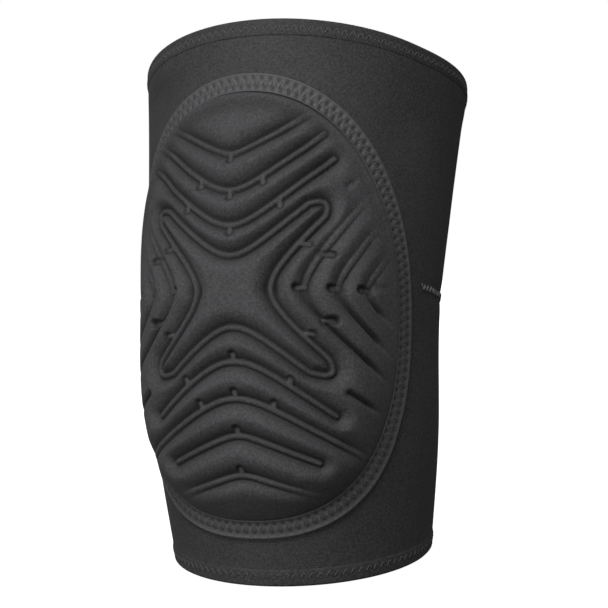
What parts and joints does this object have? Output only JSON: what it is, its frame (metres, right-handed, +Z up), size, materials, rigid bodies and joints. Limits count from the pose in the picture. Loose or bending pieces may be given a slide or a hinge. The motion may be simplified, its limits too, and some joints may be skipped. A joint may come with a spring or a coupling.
{
  "type": "wrestling knee pad",
  "caption": "Bent stretch sleeve worn around the knee, with a grooved oval foam pad on its front, a sewn binding round the pad and a folded hem at each open edge.",
  "frame": {"origin": "on the surface the lower hem stands on, under the middle of the whole part's box", "axes": "+Z up along the shin, the pad and the front of the knee face -Y, +X to the right seen from the front"},
  "size_m": [0.1458, 0.1802, 0.2231],
  "materials": {
    "sleeve_knit": "matte stretch knit laminated to neoprene foam, charcoal black",
    "pad_cover": "smooth fine knit moulded over foam, charcoal, soft sheen",
    "edge_tape": "elastic folded tape with zigzag stitching, dark grey"
  },
  "bodies": {
    "root": {"sleeve": "sleeve_knit", "knee_pad": "pad_cover", "pad_binding": "edge_tape", "top_hem": "edge_tape", "bottom_hem": "edge_tape"}
  },
  "joints": []
}
